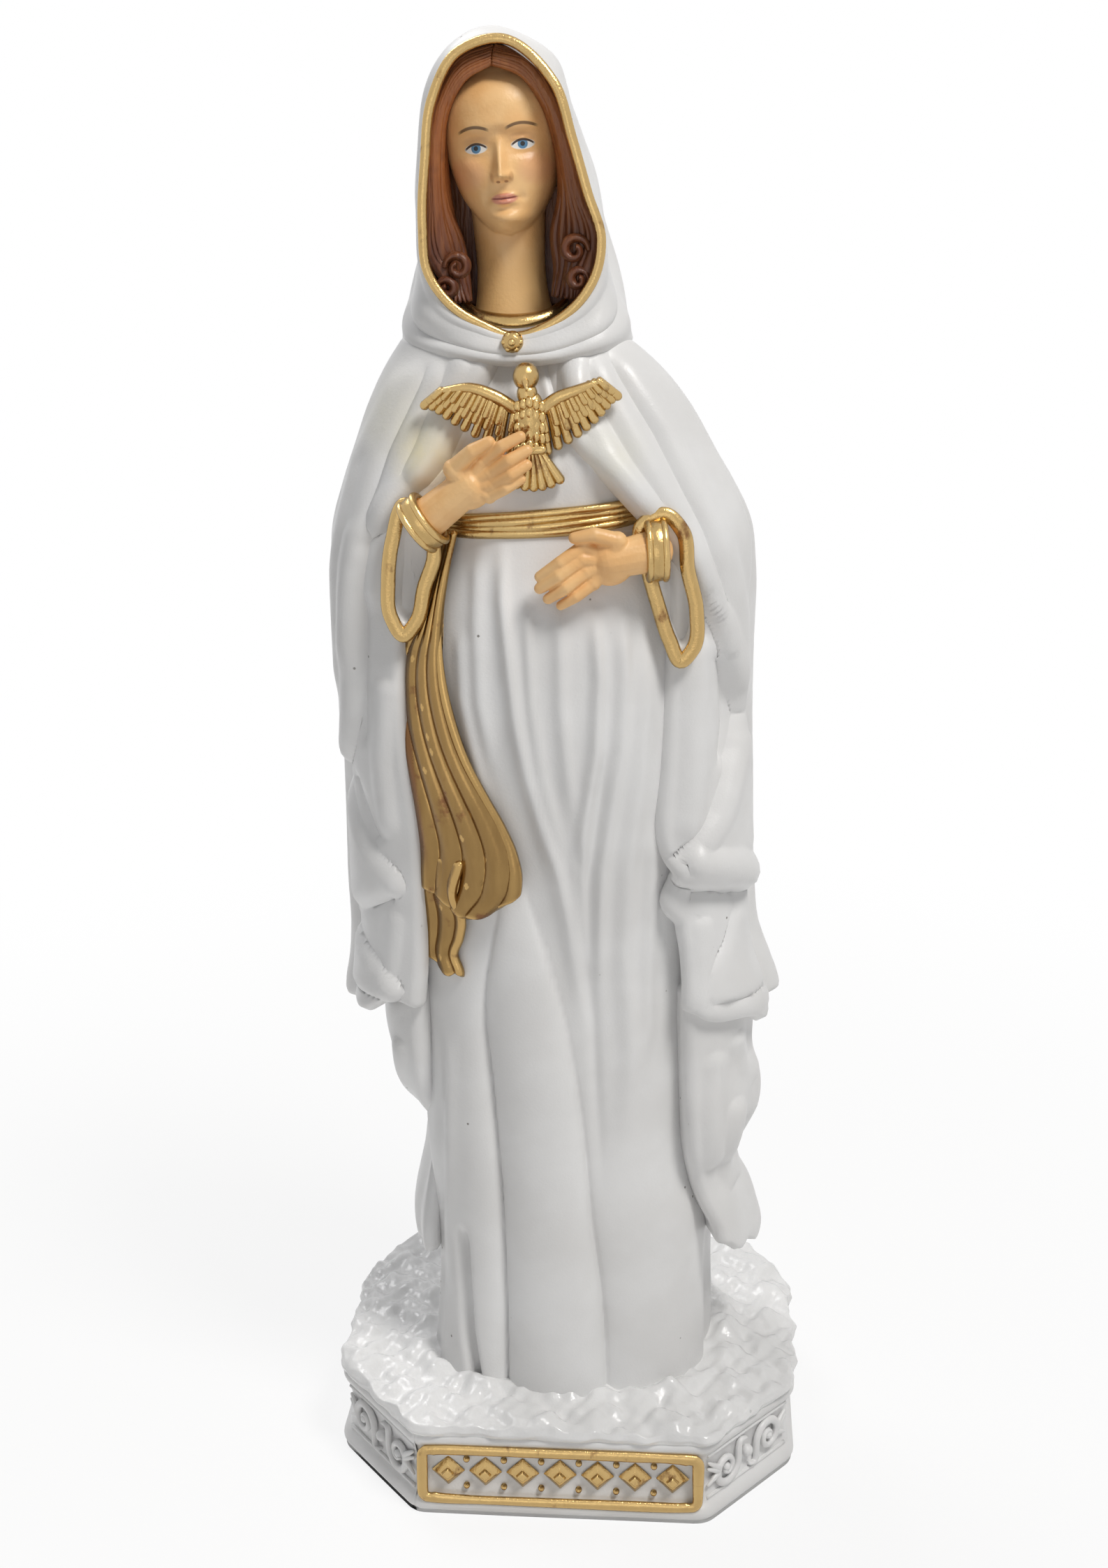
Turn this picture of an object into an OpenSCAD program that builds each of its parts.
// Standing draped figure on an eight-sided plinth: a painted plaster madonna.
// The figure faces -Y and stands on the plinth's ground. Millimetres, +Z up.
// The origin is the centre of the plinth's underside.

/* [Figure] */
// Height of the figure, from the ground it stands on to the crown of the hood
figure_h = 278; // [232:1:334]
// Thickness of the hood's wall
hood_t = 2; // [1.6:0.1:2.6]
// Thickness of the sash and its tail over the gown
sash_t = 1.6; // [1.2:0.1:2.4]
// Height of the sash band
belt_h = 5.5; // [4.5:0.1:6.6]
// Depth of the folds of skirt and mantle, at their deepest
fold_d = 2.4; // [1:0.1:3]
// Glue gap between two seated pieces
seat_gap = 0.15; // [0.1:0.05:0.3]

/* [Plinth] */
// Overall width, left to right
plinth_w = 100; // [84:1:120]
// Overall depth, front to back
plinth_d = 85; // [80:1:102]
// Height, up to the underside of the ground
plinth_h = 19; // [15:1:23]
// How far each front corner is cut back along X and along Y
front_cut = [19, 24]; // [14:1:24]
// How far each back corner is cut back along X and along Y
back_cut = [11, 20]; // [8:1:24]
// Height of the foot moulding
foot_h = 3; // [2:0.5:4]
// Height of the top lip
lip_h = 2.5; // [2:0.5:3.5]
// How far the panels between foot and lip are set back
panel_set = 1.2; // [0.8:0.1:1.6]
// Thickness of the ground at the figure's foot
ground_t = 3; // [2.5:0.5:4]
// Height of the highest lump of the ground above the figure's foot
lump_h = 2.2; // [1:0.1:3]

/* [Relief] */
// Width of the bars of the name frame
frame_bar = 2; // [1.5:0.1:2.6]
// How far the name frame and the ornaments stand out of their panels
relief_t = 1; // [0.6:0.1:1.5]
// Number of lozenges in the row inside the name frame
lozenges = 7; // [3:1:9]

/* [Armature] */
// Diameter of the steel rod through plinth, skirt and bodice
rod_d = 4; // [3:0.5:5]
// Diameter of the steel dowel between bodice and neck
neck_pin_d = 3; // [2:0.5:4]
// Diameter of the wire pin in each wrist
wrist_pin_d = 1.6; // [1:0.1:2]
// Radial clearance of a rod or pin in its hole
pin_gap = 0.1; // [0.05:0.05:0.2]

/* [Hidden] */

// The figure is drawn at this height, and every form of it is multiplied by k.
drawn_h = 278;
k = figure_h / drawn_h;
snug = seat_gap * max(1, k); // a taller figure has coarser facets, and its close seats open with them
foot_z = plinth_h + ground_t;
squareness = 2.5; // of the oval sections: 2 is an ellipse
around = 72;      // points round a section

// Heights on the drawn figure, from the ground.
train_hem_z = 20;
train_top_z = 79;
mantle_hem_z = 79.5;
waist_z = 185;
neck_z = 219;

// Sections: [height, left x, right x, front y, back y].
gown_form = [[0, -37, 34, -27, 25], [23, -34, 31, -25, 24], [48, -32, 28, -23, 23], [78, -32, 26, -22, 22],
    [108, -34, 21, -24, 22], [128, -34, 21, -28, 22], [148, -34, 22, -31, 22], [163, -33, 22, -30, 21],
    [178, -30, 19, -26, 20], [185, -28, 18, -24, 19], [193, -28, 17, -23, 19], [208, -27, 12, -20, 17],
    [217, -25, 5, -15, 14], [222, -22, -2, -11, 10]];
mantle_form = [[79, -49.5, 44, -31, 30], [95, -48, 41, -31, 30], [108, -48.5, 39, -31, 29],
    [128, -48.5, 37, -31, 29], [135, -49, 37, -31, 29], [148, -49.2, 36.5, -31, 29], [168, -49.5, 36.5, -31, 28],
    [178, -49.5, 36.5, -31, 28], [190, -48.5, 35, -29, 28], [198, -46, 30.5, -28, 27], [208, -41, 25, -26, 26],
    [218, -36, 18, -23, 23], [224, -31, 10, -18, 20]];
train_form = [[20, -35, 37, -24, 27], [26, -36.5, 43, -25, 28], [38, -35.5, 39, -25, 28], [48, -35, 36, -25, 28],
    [58, -38, 41, -25, 28], [66, -42, 42, -25, 28], [79, -42, 40, -26, 28]];
hood_form = [[219, -33, 9, -19, 20], [226, -32, 8, -18, 20], [238, -31, 6.5, -17.5, 20], [250, -30.5, 4, -18, 21],
    [258, -30, 1.5, -19, 21], [268, -28.5, -3, -19, 19], [274, -25, -7, -17.5, 14],
    [276.5, -22.5, -9, -15, 10], [278, -19, -12, -10, 5]];
head_form = [[219, -21, -5, -8, 8], [232, -20, -6, -8, 8], [238, -20.5, -7, -9, 8], [244, -21.5, -6.5, -14, 8],
    [250, -23.5, -5, -16, 9], [258, -25, -3.8, -16.5, 10], [266, -24, -6, -16, 10], [270, -21, -9.5, -13, 8],
    [272.5, -18, -12.5, -9, 5]];
// Angles where an open wrap ends: [height, outer right, outer left, inner right, inner left]; -90 is the front.
mantle_wrap = [[79, -49, 222, -15, 195], [128, -38, 222, -15, 195], [168, -36, 223, -15, 195],
    [190, -33, 224, -12, 198], [203, -52, 230, -32, 205], [208, -60, 238, -40, 220], [224, -62, 246, -50, 235]];
train_wrap = [[20, -35, 212, -25, 205], [79, -35, 215, -25, 205]];
hood_wrap = [[219, -88, 268, -88, 268], [221, -84, 264, -84, 264], [224, -72, 252, -72, 252],
    [229, -50, 230, -50, 230], [238, -38, 217, -39, 219], [250, -38, 216, -40, 220],
    [266, -44, 224, -46, 226], [273.5, -62, 242, -64, 244]];
hair_wrap = [[226, -56, 236, -58, 238], [250, -46, 226, -52, 230], [262, -50, 230, -56, 236], [268, -66, 246, -70, 250]];
// The sash tail on the gown: [height, left x, right x].
tail_form = [[94, -29.5, -22], [104, -30, -20.5], [110, -30.2, -9.5], [118, -30.5, -8.5], [133, -31, -14],
    [153, -32, -21], [163, -30, -23], [178, -27.5, -23.5], [184, -26.5, -23]];

// Linear reading of a table's column at a height.
function at(table, z, column) = lookup(z, [for (row = table) [row[0], row[column]]]);
function bow(v) = sign(v) * pow(abs(v), 2 / squareness);
// A point of a form's section, at an angle, grown outwards.
function section_point(form, z, angle, grow = 0) =
    let (x0 = at(form, z, 1) * k - grow, x1 = at(form, z, 2) * k + grow,
        depth = sin(angle) < 0 ? grow - at(form, z, 3) * k : at(form, z, 4) * k + grow)
    [(x0 + x1) / 2 + (x1 - x0) / 2 * bow(cos(angle)), depth * bow(sin(angle)), z * k];
// Folds are pressed inwards from the section. On the skirt they open below the sash, across the front.
function skirt_fold(z, angle) =
    let (front = max(0, -sin(angle) - 0.4) / 0.6, fall = max(0, 1 - z / 93))
    -fold_d * min(1, 2 * front) * pow(fall, 0.7) * (0.5 - 0.5 * cos(angle * 11 + 40));
function mantle_fold(z, angle) = -fold_d * (0.5 - 0.5 * sin(angle * 9 + z * 0.7)) * min(1, (224 - z) / 60);
function section(form, z, grow = 0) =
    [for (i = [0:around - 1]) section_point(form, z, 360 * i / around, grow)];
function folded_section(form, z) =
    [for (i = [0:around - 1]) let (a = 360 * i / around) section_point(form, z, a, skirt_fold(z, a))];
// The angle at which a form's front lies above a given x.
function front_angle(form, z, x) =
    let (x0 = at(form, z, 1) * k, x1 = at(form, z, 2) * k, u = (2 * x - x0 - x1) / (x1 - x0),
        a = acos(pow(min(0.999, abs(u)), squareness / 2)))
    u < 0 ? 180 + a : 360 - a;
// An open wrap: the outer form's arc by way of the back, then the inner form's arc back again.
function wrap_ring(outer, inner, wrap, z, outer_grow, inner_grow, n, folded = false) =
    let (a0 = at(wrap, z, 1), a1 = at(wrap, z, 2), b0 = at(wrap, z, 3), b1 = at(wrap, z, 4))
    concat([for (i = [0:n]) let (a = a0 + (a1 - a0) * i / n)
            section_point(outer, z, a, outer_grow + (folded ? mantle_fold(z, a) : 0))],
        [for (i = [n:-1:0]) section_point(inner, z, b0 + (b1 - b0) * i / n, inner_grow)]);
function steps(z0, z1, n) = [for (i = [0:n]) z0 + (z1 - z0) * i / n];
// All pieces turn their corners at the same levels, so that seated faces stay parallel.
levels = [0, 12, 20, 26, 38, 48, 58, 66, 78, 86, 95, 108, 118, 128, 135, 148, 158, 163, 168, 178, 185, 190, 193, 198,
    203, 208, 213, 217, 219, 221, 224, 226, 229, 232, 238, 244, 250, 254, 258, 262, 266, 268, 270];
function between(z0, z1) = concat([z0], [for (z = levels) if (z > z0 + 0.8 && z < z1 - 0.8) z], [z1]);
function scatter(x, y) = sin(x * 23 + y * 31) + sin(x * 47 - y * 19 + 60) + sin(x * 11 + y * 67 + 130);

// A solid through rings that all have as many points, an even number, from the lowest ring up.
// Each lid is a strip between the ring's two halves, so that a crescent's lid stays inside its outline.
module loft(rings) {
    n = len(rings[0]);
    m = len(rings);
    sides = [for (j = [0:m - 2], i = [0:n - 1], half = [0, 1])
        let (a = j * n + i, b = j * n + (i + 1) % n)
        half == 0 ? [a, a + n, b] : [b, a + n, b + n]];
    lid = [for (i = [0:n / 2 - 2], half = [0, 1]) half == 0 ? [i, i + 1, n - 1 - i] : [i + 1, n - 2 - i, n - 1 - i]];
    top = (m - 1) * n;
    polyhedron([for (ring = rings) each ring],
        concat(lid, sides, [for (t = lid) [top + t[2], top + t[1], top + t[0]]]));
}
module on_ground() { translate([0, 0, foot_z]) children(); }
module from_to(a, b, d) {
    reach = b - a;
    turn = [0, acos(reach.z / norm(reach)), atan2(reach.y, reach.x)];
    translate(a) rotate(turn) cylinder(h = norm(reach), d = d, $fn = 32);
}

// Plinth
function plinth_outline(set = 0) =
    let (x = plinth_w / 2 - set, y = plinth_d / 2 - set, f = front_cut, b = back_cut)
    [[f.x - x, -y], [x - f.x, -y], [x, f.y - y], [x, y - b.y], [x - b.x, y], [b.x - x, y], [-x, y - b.y], [-x, f.y - y]];
front_w = plinth_w - 2 * front_cut.x;
panel_h = plinth_h - foot_h - lip_h;
panel_y = panel_set - plinth_d / 2;
rod_x = -4;
rod_start = 5;
module rod_hole() {
    translate([rod_x, 0, rod_start]) cylinder(h = waist_z * k + foot_z, d = rod_d + 2 * pin_gap, $fn = 48);
}
module plinth() {
    color("white") difference() {
        union() {
            linear_extrude(foot_h) polygon(plinth_outline());
            linear_extrude(plinth_h) polygon(plinth_outline(panel_set));
            translate([0, 0, plinth_h - lip_h]) linear_extrude(lip_h) polygon(plinth_outline());
        }
        rod_hole();
    }
}

// Ground: flat under the figure, lumpy outside its foot.
// Share of the way out from the middle of the figure's foot to its edge.
function foot_share(p) =
    let (x0 = gown_form[0][1] * k, x1 = gown_form[0][2] * k, y1 = -gown_form[0][3] * k,
        u = abs(2 * p.x - x0 - x1) / (x1 - x0 + 4), v = abs(p.y) / (y1 + 2))
    pow(pow(u, squareness) + pow(v, squareness), 1 / squareness);
function lump(p) = foot_share(p) < 1.12 ? 0 : lump_h * (0.5 + scatter(p.x, p.y) / 6);
// The edge wanders in and out like a spread of wet plaster.
function ground_point(share, i) =
    let (outline = plinth_outline(0.1), c = i * 8 / around, a = outline[floor(c)], b = outline[(floor(c) + 1) % 8],
        p = a + (b - a) * (c - floor(c)))
    p * share * (0.985 + scatter(p.x, p.y) / 220);
module ground() {
    shares = [1, 0.965, 0.93, 0.89, 0.85, 0.8, 0.75, 0.7, 0.6, 0.3];
    foot = [for (i = [0:around - 1]) let (p = ground_point(0.98, i)) [p.x, p.y, 0]];
    tops = [for (share = shares) [for (i = [0:around - 1])
        let (p = ground_point(share, i), edge = share == 1 ? 0.5 : 1)
        [p.x, p.y, (ground_t + lump(p)) * edge]]];
    color("white") difference() {
        translate([0, 0, plinth_h]) loft(concat([foot], tops));
        rod_hole();
    }
}

// Name frame, and the plain row of lozenges that fills it
frame_w = front_w - 3;
frame_h = panel_h - 1;
module frame_rect(set) { square([frame_w - 2 * set, frame_h - 2 * set], center = true); }
module on_front() {
    translate([0, panel_y, foot_h + panel_h / 2]) rotate([90, 0, 0]) children();
}
module name_frame() {
    color("goldenrod") on_front() linear_extrude(relief_t) difference() {
        frame_rect(0);
        frame_rect(frame_bar);
    }
}
module name_lozenges() {
    pitch = (frame_w - 2 * frame_bar) / lozenges;
    r = min(pitch, frame_h - 2 * frame_bar) * 0.36;
    color("goldenrod") on_front()
        for (i = [0:lozenges - 1]) translate([pitch * (i - (lozenges - 1) / 2), 0, 0])
            linear_extrude(relief_t) circle(r, $fn = 4);
}

// Corner scrolls: two volutes and a bud on each cut corner's panel
module volute(r) {
    linear_extrude(relief_t) difference() {
        circle(r, $fn = 32);
        circle(r * 0.55, $fn = 32);
    }
    linear_extrude(relief_t) circle(r * 0.25, $fn = 24);
}
module scroll_pair(width) {
    r = min(panel_h, width) * 0.2;
    for (side = [-1, 1]) translate([side * width * 0.22, side * r * 0.4, 0]) volute(r);
    translate([0, 0, 0]) linear_extrude(relief_t) circle(r * 0.35, $fn = 24);
}
module on_panel(a, b) {
    middle = (a + b) / 2;
    translate([middle.x, middle.y, foot_h + panel_h / 2]) rotate([90, 0, atan2(b.y - a.y, b.x - a.x)])
        scroll_pair(norm(b - a));
}
module corner_scrolls() {
    outline = plinth_outline(panel_set);
    color("white") for (corner = [1, 3, 5, 7]) on_panel(outline[corner], outline[(corner + 1) % 8]);
}

// Gown
module skirt() {
    color("white") difference() {
        on_ground() loft([for (z = between(0, waist_z)) folded_section(gown_form, z)]);
        rod_hole();
    }
}
rod_top = (waist_z + 18) * k + foot_z;
neck_pin_z = [(neck_z - 14) * k + foot_z, (neck_z + 12) * k + foot_z];
neck_x = -13 * k;
module neck_pin_hole() {
    translate([neck_x, 0, neck_pin_z[0] - pin_gap])
        cylinder(h = neck_pin_z[1] - neck_pin_z[0] + 2 * pin_gap, d = neck_pin_d + 2 * pin_gap, $fn = 48);
}
module bodice() {
    color("white") difference() {
        on_ground() loft([for (z = between(waist_z + seat_gap / k, neck_z - seat_gap / k)) section(gown_form, z)]);
        translate([rod_x, 0, waist_z]) cylinder(h = rod_top + pin_gap - waist_z, d = rod_d + 2 * pin_gap, $fn = 48);
        neck_pin_hole();
    }
}

// Sash: a band across the front, and the tail that falls from it
belt_x = [-26 * k, 14 * k];
function apron_ring(form, z, x0, x1, t, n = 14) =
    let (a0 = front_angle(form, z, x0), a1 = front_angle(form, z, x1))
    concat([for (i = [0:n]) section_point(form, z, a0 + (a1 - a0) * i / n, seat_gap + t)],
        [for (i = [n:-1:0]) section_point(form, z, a0 + (a1 - a0) * i / n, seat_gap)]);
module belt() {
    top = waist_z + belt_h / k;
    color("goldenrod") on_ground()
        loft([for (z = between(waist_z, top)) apron_ring(gown_form, z, belt_x[0], belt_x[1], sash_t, 26)]);
}
module sash_tail() {
    heights = concat([94, 99, 104, 105.5, 107, 108.5, 110], between(114, waist_z - seat_gap / k));
    color("goldenrod") on_ground()
        loft([for (z = heights) apron_ring(gown_form, z, at(tail_form, z, 1) * k, at(tail_form, z, 2) * k, sash_t)]);
}

// Mantle, and the long under layer that shows below its hem
module wrap(outer, inner, ends, heights, outer_grow, inner_grow, n, folded = false) {
    loft([for (z = heights) wrap_ring(outer, inner, ends, z, outer_grow, inner_grow, n, folded)]);
}
module under_mantle() {
    heights = between(train_hem_z, train_top_z);
    color("white") on_ground() wrap(train_form, gown_form, train_wrap, heights, 0, seat_gap, 40, true);
}
module mantle() {
    heights = between(mantle_hem_z, neck_z - 2 * seat_gap / k);
    color("white") on_ground() wrap(mantle_form, gown_form, mantle_wrap, heights, 0, 2 * snug, 40, true);
}

// Hood, its gold trim, the collar and the clasp
// Above the opening the inner arc crosses to the front, so the cavity gets a ceiling and the crown is closed.
function crown_ring(z, n) =
    let (a0 = at(hood_wrap, z, 1), a1 = at(hood_wrap, z, 2))
    concat([for (i = [0:n]) section_point(hood_form, z, a0 + (a1 - a0) * i / n)],
        [for (i = [1:n + 1]) section_point(hood_form, z, a1 + (360 + a0 - a1) * i / (n + 2))]);
module hood() {
    n = 30;
    walls = [for (z = between(neck_z, 273.5))
        wrap_ring(hood_form, hood_form, hood_wrap, z, 0, -hood_t, n)];
    color("white") on_ground() loft(concat(walls, [for (z = [274.5, 276.5, 278]) crown_ring(z, n)]));
}
function rim_point(z, side, grow) = section_point(hood_form, z, at(hood_wrap, z, side), grow);
trim_r = 1;
rim_heights = [221.5, 224, 226.5, 229, 233, 238, 250, 258, 266, 270, 273];
module rim_bead(p) { translate(p) sphere(trim_r, $fn = 16); }
module hood_trim() {
    out = snug + trim_r;
    color("goldenrod") on_ground() for (side = [1, 2], i = [0:len(rim_heights) - 2])
        hull() {
            rim_bead(rim_point(rim_heights[i], side, out));
            rim_bead(rim_point(rim_heights[i + 1], side, out));
        }
}
module collar() {
    ring = [[neck_z + seat_gap / k, -22, -4, -14, 6], [neck_z + 4, -21.5, -4.5, -12.5, 4]];
    color("goldenrod") on_ground()
        loft([for (z = steps(ring[0][0], ring[1][0], 2)) concat(
            [for (i = [0:16]) section_point(ring, z, 190 + 160 * i / 16, 0)],
            [for (i = [16:-1:0]) section_point(head_form, z, 190 + 160 * i / 16, seat_gap)])]);
}
clasp_r = 2.2;
module clasp() {
    p = [-11.5 * k, at(hood_form, neck_z, 3) * k - clasp_r - seat_gap, (neck_z + 0.6) * k];
    color("goldenrod") on_ground() translate(p) sphere(clasp_r, $fn = 24);
}

// Head and hair
module head() {
    color("burlywood") difference() {
        on_ground() loft([for (z = between(neck_z, 272.5)) section(head_form, z)]);
        neck_pin_hole();
    }
}
module hair() {
    color("saddlebrown") on_ground()
        wrap(hood_form, head_form, hair_wrap, between(226, 268), -hood_t - 2 * seat_gap, seat_gap, 30);
}

// Sleeves: each hangs below a wrist as a deep loop with a gold hem
right_mouth = [[-34.5, 191], [-35, 178], [-34, 168], [-31, 165], [-28.5, 167], [-26, 182], [-30, 194]];
left_mouth = [[17, 176], [19.5, 166], [22, 160.5], [24.5, 163], [25.5, 175], [24.5, 184], [20, 189]];
right_depth = [-23.9, -22.2];
left_depth = [-21.5, -15.3];
hem_t = 1.4;
hem_bar = 2;
module mouth(points) { polygon([for (p = points) p * k]); }
module facing(y0, y1) {
    translate([0, y1 * k, 0]) rotate([90, 0, 0]) linear_extrude((y1 - y0) * k) children();
}
module right_sleeve() { color("white") on_ground() facing(right_depth[0], right_depth[1]) mouth(right_mouth); }
module left_sleeve() { color("white") on_ground() facing(left_depth[0], left_depth[1]) mouth(left_mouth); }
module sleeve_hem(points, front) {
    color("goldenrod") on_ground() translate([0, front * k - seat_gap, 0]) rotate([90, 0, 0])
        linear_extrude(hem_t) difference() {
            mouth(points);
            offset(delta = -hem_bar) mouth(points);
        }
}
module right_sleeve_hem() { sleeve_hem(right_mouth, right_depth[0]); }
module left_sleeve_hem() { sleeve_hem(left_mouth, left_depth[0]); }

// Cuffs, hands and their pins lie along each forearm's line, from elbow to fingers
right_line = [[-30, -31, 186.5], [-21, -31, 196]];
left_line = [[19, -28.6, 183.5], [8, -29.2, 180.5]];
function along(line, s) = (line[0] + (line[1] - line[0]) * s) * k;
cuff_r = 5.2;
wrist_r = 3.6;
module cuff(line) {
    color("goldenrod") on_ground() difference() {
        from_to(along(line, 0), along(line, 0.4), 2 * cuff_r * k);
        from_to(along(line, -0.1), along(line, 0.5), 2 * (wrist_r * k + seat_gap));
    }
}
module right_cuff() { cuff(right_line); }
module left_cuff() { cuff(left_line); }
pin_span = [0.06, 0.75];
module wrist_pin(line, gap) {
    from_to(along(line, pin_span[0]), along(line, pin_span[1]), wrist_pin_d + 2 * gap);
}
module finger(a, b, r) {
    hull() {
        translate(a * k) sphere(r * k, $fn = 12);
        translate(b * k) sphere(r * k * 0.75, $fn = 12);
    }
}
module hand(line, knuckles, tips) {
    color("burlywood") on_ground() difference() {
        union() {
            from_to(along(line, 0.02), along(line, 0.7), 2 * wrist_r * k);
            hull() {
                translate(along(line, 0.6)) sphere(3.4 * k, $fn = 20);
                for (p = [knuckles[0], knuckles[3]]) translate(p * k) sphere(1.9 * k, $fn = 16);
            }
            for (i = [0:3]) finger(knuckles[i], tips[i], 1.7);
        }
        wrist_pin(line, pin_gap);
    }
}
right_knuckles = [[-18, -30, 202], [-16.5, -30.8, 199], [-15, -30.8, 196], [-14, -30.3, 193]];
right_tips = [[-12, -29, 205], [-10, -29.2, 203], [-9.5, -29.2, 199.5], [-9.5, -28.8, 196]];
left_knuckles = [[0.5, -29, 183], [0, -29.6, 180.5], [1, -29.6, 177.5], [3, -29, 175]];
left_tips = [[-5.5, -28.6, 178], [-6, -29, 175.5], [-4, -29.4, 173], [-1, -29.4, 171.5]];
module right_hand() { hand(right_line, right_knuckles, right_tips); }
module left_hand() { hand(left_line, left_knuckles, left_tips); }
module right_wrist_pin() { color("silver") on_ground() wrist_pin(right_line, 0); }
module left_wrist_pin() { color("silver") on_ground() wrist_pin(left_line, 0); }

// Dove: head, body, two wings and a fanned tail, cast in one
dove_y = -23.4;
dove_t = 3.6;
wing = [[-1, 205.5], [3, 209], [9, 213], [14, 214.5], [15.5, 211], [13.5, 205.5], [7, 203.5], [1, 202]];
tail_fan = [[-2.2, 201], [2.2, 201], [4.8, 194.5], [0.5, 192.5], [-4, 194]];
module dove() {
    color("goldenrod") on_ground() translate([-8 * k, 0, 0]) union() {
        facing(dove_y - dove_t, dove_y) union() {
            for (side = [0, 1]) mirror([side, 0]) mouth(wing);
            mouth(tail_fan);
            translate([-2.6 * k, 199 * k]) square([5.2 * k, 12 * k]);
        }
        translate([0, (dove_y - dove_t) * k, 213 * k]) sphere(2.8 * k, $fn = 24);
    }
}

// Steel inside the casting
module armature_rod() {
    color("silver") translate([rod_x, 0, rod_start]) cylinder(h = rod_top - rod_start, d = rod_d, $fn = 48);
}
module neck_dowel() {
    color("silver") translate([neck_x, 0, neck_pin_z[0]])
        cylinder(h = neck_pin_z[1] - neck_pin_z[0], d = neck_pin_d, $fn = 48);
}

plinth();
ground();
name_frame();
name_lozenges();
corner_scrolls();
skirt();
bodice();
belt();
sash_tail();
under_mantle();
mantle();
hood();
hood_trim();
collar();
clasp();
head();
hair();
right_sleeve();
left_sleeve();
right_sleeve_hem();
left_sleeve_hem();
right_cuff();
left_cuff();
right_hand();
left_hand();
dove();
armature_rod();
neck_dowel();
right_wrist_pin();
left_wrist_pin();
